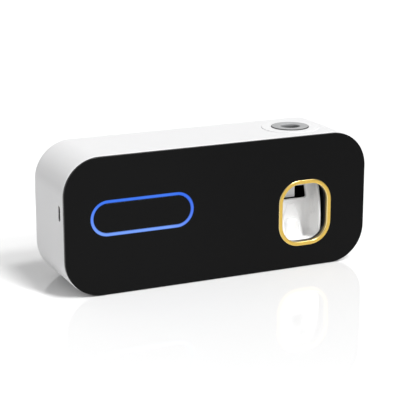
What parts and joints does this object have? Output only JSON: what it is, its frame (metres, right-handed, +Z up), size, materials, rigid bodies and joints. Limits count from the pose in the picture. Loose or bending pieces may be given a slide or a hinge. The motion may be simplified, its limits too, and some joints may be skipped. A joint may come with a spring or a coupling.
{
  "type": "uv toothbrush sterilizer",
  "caption": "Rounded landscape box with a black face, lit oval key, gold-trimmed push-lever toothpaste dispenser, top tube port and brush slots below.",
  "frame": {"origin": "middle of the footprint, on the surface that the device stands on", "axes": "+X to the right seen from the front, +Y from the black face to the wall side, +Z up"},
  "size_m": [0.2, 0.0524, 0.085],
  "materials": {
    "white_shell": "white moulded, satin gloss",
    "white_cover": "white moulded, fine matt",
    "steel_screws": "zinc plated",
    "black_face": "black, smooth, soft gloss",
    "black_carrier": "black moulded",
    "blue_light_guide": "diffusing, lit blue",
    "black_key": "black, smooth, soft gloss",
    "steel_springs": "spring wire",
    "gold_trim": "gold anodised, satin",
    "green_board": "solder mask",
    "black_chips": "moulded black",
    "led_body": "small lamp bodies",
    "switch_cap": "switch plunger",
    "socket_metal": "nickel plated",
    "white_collar": "white moulded",
    "grey_silicone": "grey silicone",
    "clear_silicone": "milky silicone",
    "white_nozzle": "white moulded",
    "white_lever": "white moulded, smooth",
    "black_housing": "black moulded",
    "mirror_liner": "bright reflective",
    "quartz": "clear",
    "lamp_board": "white solder mask on aluminium",
    "white_rack": "white moulded",
    "cell_wrap": "plain blue wrap",
    "lead_sleeve": "black sleeve"
  },
  "bodies": {
    "housing": {"shell": "white_shell", "back_cover": "white_cover", "back_cover_screws": "steel_screws", "front_panel": "black_face", "panel_carrier": "black_carrier", "carrier_screws": "steel_screws", "light_ring": "blue_light_guide", "key_springs": "steel_springs", "window_trim": "gold_trim", "main_board": "green_board", "board_screws": "steel_screws", "board_parts": "black_chips", "ring_leds": "led_body", "tact_switch": "black_chips", "usb_socket": "socket_metal", "usb_tongue": "black_chips", "port_collar": "white_collar", "port_seat": "grey_silicone", "inlet_valve": "clear_silicone", "pump_bulb": "clear_silicone", "nozzle_block": "white_nozzle", "nozzle_lip": "clear_silicone", "nozzle_screws": "steel_screws", "lever_pins": "steel_screws", "lever_spring": "steel_springs", "dispenser_housing": "black_housing", "housing_screws": "steel_screws", "chamber_liner": "mirror_liner", "uv_window": "quartz", "uv_board": "lamp_board", "uv_leds": "led_body", "brush_rack": "white_rack", "brush_grips": "grey_silicone", "battery_cell": "cell_wrap", "battery_cradle": "black_housing", "battery_lead": "lead_sleeve", "lamp_lead": "lead_sleeve"},
    "key": {"power_key": "black_key", "key_clips": "steel_springs"},
    "plunger": {"switch_plunger": "switch_cap"},
    "lever": {"dispenser_lever": "white_lever", "lever_pad": "grey_silicone"}
  },
  "joints": [
    {"name": "key_press", "type": "slide", "parent": "housing", "child": "key", "axis": [0, 1, 0], "range_m": [0, 0.0007], "stiffness_N_per_m": 500, "springref_m": -0.001, "deforming": ["key_springs"]},
    {"name": "switch_press", "type": "slide", "parent": "housing", "child": "plunger", "axis": [0, 1, 0], "range_m": [0, 0.0007]},
    {"name": "lever_push", "type": "hinge", "parent": "housing", "child": "lever", "pos_m": [0.0575, 0, 0.072], "axis": [1, 0, 0], "range_deg": [0, 12], "stiffness_Nm_per_rad": 0.25, "springref_deg": -8.59, "deforming": ["lever_spring", "pump_bulb"]}
  ],
  "couplings": [
    {"joint": "switch_press", "follows": "key_press", "ratio": 1}
  ]
}
